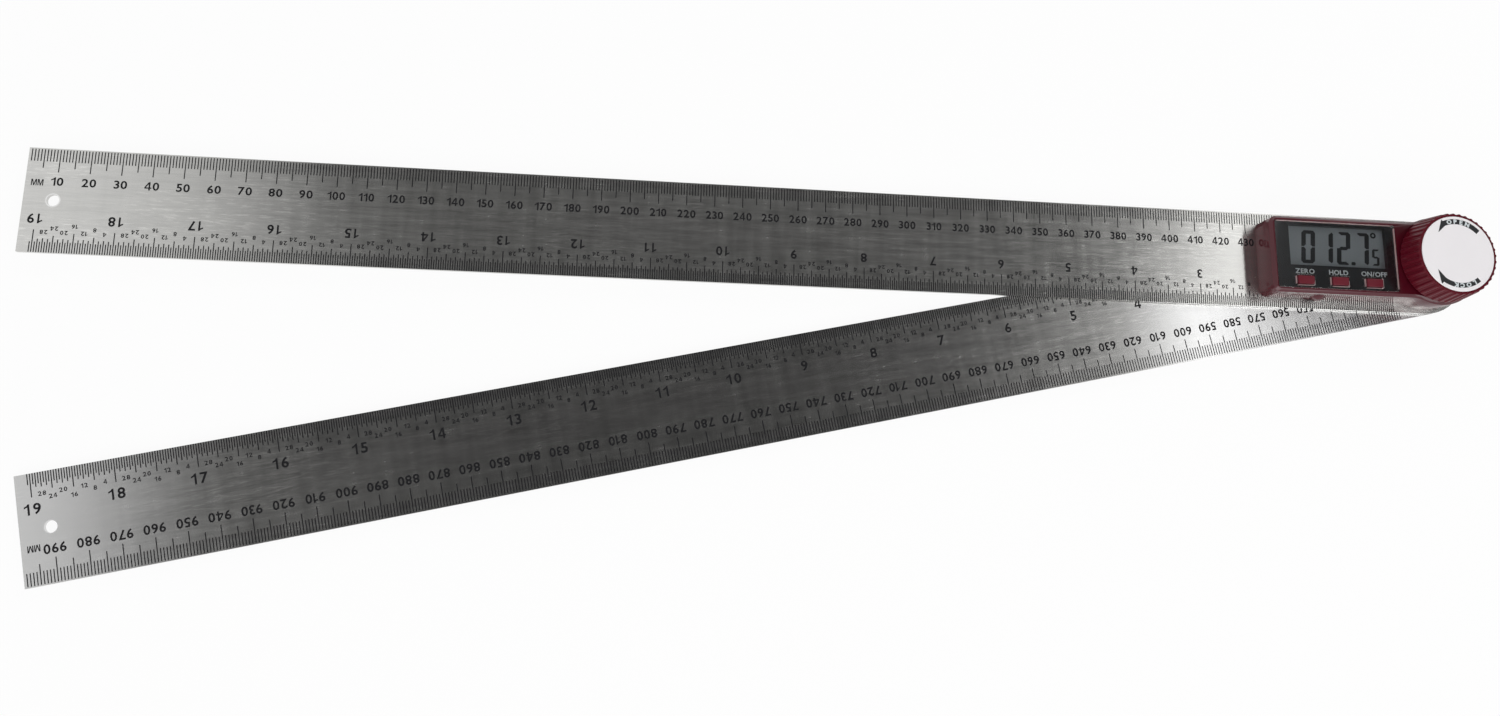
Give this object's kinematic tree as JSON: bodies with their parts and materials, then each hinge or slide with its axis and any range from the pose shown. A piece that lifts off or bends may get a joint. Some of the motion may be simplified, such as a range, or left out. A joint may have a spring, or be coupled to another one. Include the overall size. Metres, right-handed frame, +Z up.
{
  "type": "digital angle ruler",
  "caption": "Two steel rules hinged at one end, with a digital angle display on the upper rule and a round lock knob over the pivot.",
  "frame": {"origin": "on the pivot axis, in the plane of the spindle flange's foot, which the tool rests on", "axes": "+Z up out of the display; the upper rule runs from the pivot towards -X; the lower rule is drawn turned 12.6 degrees from it, towards -Y"},
  "size_m": [0.518, 0.1446, 0.0235],
  "materials": {
    "upper_blade": "satin, grained along the rule",
    "housing_shell": "gloss",
    "base_plate": "matte",
    "window_panel": "clear sheet printed charcoal on its back",
    "lcd_frame": "matte",
    "lcd_glass": "gloss",
    "contact_strips": "matte",
    "circuit_board": "satin solder mask",
    "switch_bodies": "matte",
    "battery_contacts": "satin",
    "housing_screws": "satin",
    "board_screws": "satin",
    "zero_key": "gloss",
    "hold_key": "gloss",
    "power_key": "gloss",
    "zero_plunger": "matte",
    "hold_plunger": "matte",
    "power_plunger": "matte",
    "battery_drawer": "gloss",
    "coin_cell": "bright",
    "lower_blade": "satin, grained along the rule",
    "pivot_spindle": "turned",
    "flange_rivets": "satin",
    "friction_washer": "waxy",
    "wave_washer": "satin",
    "retaining_ring": "dark",
    "rotor_disc": "satin solder mask",
    "thrust_washer": "satin",
    "lock_knob": "gloss",
    "knob_insert": "satin",
    "knob_label": "satin"
  },
  "bodies": {
    "upper_arm": {"upper_blade": "upper_blade", "housing_shell": "housing_shell", "base_plate": "base_plate", "window_panel": "window_panel", "lcd_frame": "lcd_frame", "lcd_glass": "lcd_glass", "contact_strips": "contact_strips", "circuit_board": "circuit_board", "switch_bodies": "switch_bodies", "battery_contacts": "battery_contacts", "housing_screws": "housing_screws", "board_screws": "board_screws"},
    "lower_arm": {"lower_blade": "lower_blade", "pivot_spindle": "pivot_spindle", "flange_rivets": "flange_rivets", "friction_washer": "friction_washer", "wave_washer": "wave_washer", "retaining_ring": "retaining_ring", "rotor_disc": "rotor_disc"},
    "clamp_washer": {"thrust_washer": "thrust_washer"},
    "knob": {"lock_knob": "lock_knob", "knob_insert": "knob_insert", "knob_label": "knob_label"},
    "zero_button": {"zero_key": "zero_key", "zero_plunger": "zero_plunger"},
    "hold_button": {"hold_key": "hold_key", "hold_plunger": "hold_plunger"},
    "power_button": {"power_key": "power_key", "power_plunger": "power_plunger"},
    "drawer": {"battery_drawer": "battery_drawer", "coin_cell": "coin_cell"}
  },
  "joints": [
    {"name": "arm_pivot", "type": "hinge", "parent": "upper_arm", "child": "lower_arm", "pos_m": [0, 0, 0.0018], "axis": [0, 0, 1], "continuous": true},
    {"name": "lock_rise", "type": "slide", "parent": "lower_arm", "child": "clamp_washer", "axis": [0, 0, 1], "range_m": [0, 0.00075]},
    {"name": "lock_knob_turn", "type": "hinge", "parent": "clamp_washer", "child": "knob", "pos_m": [0, 0, 0.0145], "axis": [0, 0, 1], "range_deg": [0, 270]},
    {"name": "zero_press", "type": "slide", "parent": "upper_arm", "child": "zero_button", "axis": [0, 0, -1], "range_m": [0, 0.0004], "stiffness_N_per_m": 1500, "springref_m": -0.0002},
    {"name": "hold_press", "type": "slide", "parent": "upper_arm", "child": "hold_button", "axis": [0, 0, -1], "range_m": [0, 0.0004], "stiffness_N_per_m": 1500, "springref_m": -0.0002},
    {"name": "power_press", "type": "slide", "parent": "upper_arm", "child": "power_button", "axis": [0, 0, -1], "range_m": [0, 0.0004], "stiffness_N_per_m": 1500, "springref_m": -0.0002},
    {"name": "drawer_slide", "type": "slide", "parent": "upper_arm", "child": "drawer", "axis": [0, -1, 0], "range_m": [0, 0.025]}
  ],
  "couplings": [
    {"joint": "lock_knob_turn", "follows": "lock_rise", "rad_per_m": 6283.2}
  ]
}
